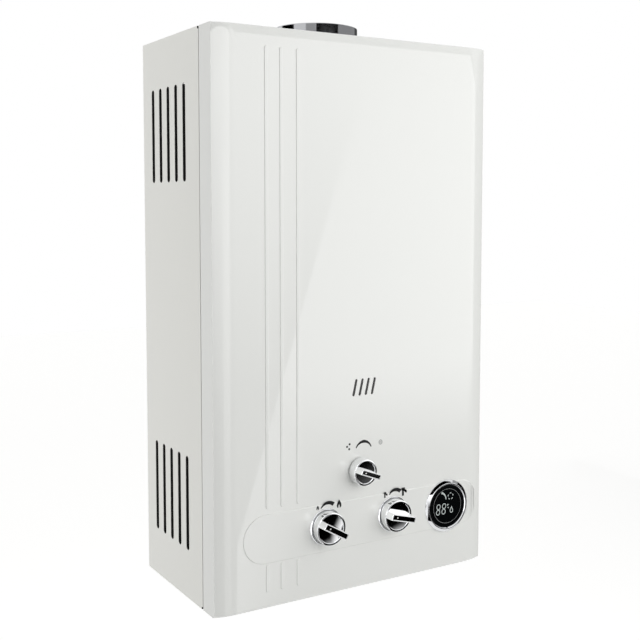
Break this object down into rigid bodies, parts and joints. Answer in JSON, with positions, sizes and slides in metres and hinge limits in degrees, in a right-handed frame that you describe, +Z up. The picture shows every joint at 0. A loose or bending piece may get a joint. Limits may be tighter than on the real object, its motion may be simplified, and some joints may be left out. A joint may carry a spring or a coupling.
{
  "type": "tankless gas water heater",
  "caption": "Wall-hung instantaneous gas water heater with a flue collar, louvred casing, chromed control knobs and a round display.",
  "frame": {"origin": "on the wall plane (the rear face of the casing), on the centre line, level with the bottom of the casing", "axes": "+X to the right seen from the front, +Y towards the wall, +Z up"},
  "size_m": [0.428, 0.2567, 0.7945],
  "materials": {
    "casing_enamel": "satin",
    "cover_enamel": "satin",
    "screw_steel": "satin",
    "sight_glass": "gloss",
    "flue_steel": "gloss",
    "galvanised": "satin",
    "copper": "satin",
    "brass": "satin",
    "stainless": "satin",
    "ceramic": "gloss",
    "die_cast": "satin",
    "knob_chrome": "gloss",
    "bezel_chrome": "gloss",
    "display_chrome": "gloss",
    "display_black": "gloss",
    "rubber": "matte",
    "black_plastic": "matte",
    "grey_plastic": "matte",
    "board_green": "satin",
    "cell_wrap": "satin"
  },
  "bodies": {
    "heater": {"rear_casing": "casing_enamel", "front_cover": "cover_enamel", "casing_screws": "screw_steel", "sight_glass": "sight_glass", "flue_collar": "flue_steel", "draft_hood": "galvanised", "hood_neck": "galvanised", "casing_floor": "casing_enamel", "exchanger_shell": "copper", "fin_stack": "copper", "fin_tubes": "copper", "coil_pipe": "copper", "cold_pipe": "copper", "hot_pipe": "copper", "union_nuts": "brass", "overheat_switch": "black_plastic", "burner_bars": "stainless", "burner_frame": "galvanised", "gas_manifold": "die_cast", "gas_nozzles": "brass", "electrode_bracket": "galvanised", "electrode_insulators": "ceramic", "electrode_tips": "stainless", "gas_valve_body": "die_cast", "solenoid_valve": "stainless", "season_valve_body": "die_cast", "shaft_glands": "brass", "valve_bracket": "galvanised", "chassis_screws": "screw_steel", "water_valve_body": "brass", "diaphragm": "rubber", "diaphragm_cover": "brass", "micro_switch": "black_plastic", "hot_outlet": "brass", "gas_inlet": "brass", "cold_inlet": "brass", "port_washers": "rubber", "port_nuts": "brass", "knob_bezels": "bezel_chrome", "display_bezel": "display_chrome", "display_lens": "display_black", "display_housing": "black_plastic", "display_board": "board_green", "igniter_box": "black_plastic", "battery_box": "grey_plastic", "battery_lid_pin": "stainless", "battery_cells": "cell_wrap", "battery_contacts": "stainless"},
    "season_control": {"season_shaft": "brass", "season_knob": "knob_chrome"},
    "gas_control": {"gas_shaft": "brass", "gas_knob": "knob_chrome"},
    "water_control": {"water_spindle": "brass", "water_knob": "knob_chrome"},
    "link": {"push_rod": "stainless", "gas_valve_disc": "rubber", "return_spring": "stainless"},
    "flow_lever": {"switch_lever": "stainless"},
    "drain": {"drain_knob": "grey_plastic"},
    "lid": {"battery_lid": "grey_plastic"}
  },
  "joints": [
    {"name": "season_turn", "type": "hinge", "parent": "heater", "child": "season_control", "pos_m": [0, -0.228, 0.162], "axis": [0, 1, 0], "range_deg": [0, 138]},
    {"name": "gas_turn", "type": "hinge", "parent": "heater", "child": "gas_control", "pos_m": [-0.054, -0.228, 0.094], "axis": [0, 1, 0], "range_deg": [0, 120]},
    {"name": "water_turn", "type": "hinge", "parent": "heater", "child": "water_control", "pos_m": [0.054, -0.228, 0.094], "axis": [0, 1, 0], "range_deg": [0, 150]},
    {"name": "link_slide", "type": "slide", "parent": "heater", "child": "link", "axis": [-1, 0, 0], "range_m": [0, 0.004], "stiffness_N_per_m": 800, "springref_m": -0.005, "deforming": ["return_spring"]},
    {"name": "lever_swing", "type": "hinge", "parent": "heater", "child": "flow_lever", "pos_m": [0.016, -0.11, 0.124], "axis": [0, 1, 0], "range_deg": [0, 10]},
    {"name": "drain_turn", "type": "hinge", "parent": "heater", "child": "drain", "pos_m": [0.092, -0.11, -0.01], "axis": [0, 0, 1], "range_deg": [0, 270]},
    {"name": "lid_swing", "type": "hinge", "parent": "heater", "child": "lid", "pos_m": [0.154, -0.1274, -0.0057], "axis": [1, 0, 0], "range_deg": [0, 110]}
  ],
  "couplings": [
    {"joint": "lever_swing", "follows": "link_slide", "rad_per_m": 40.8}
  ]
}
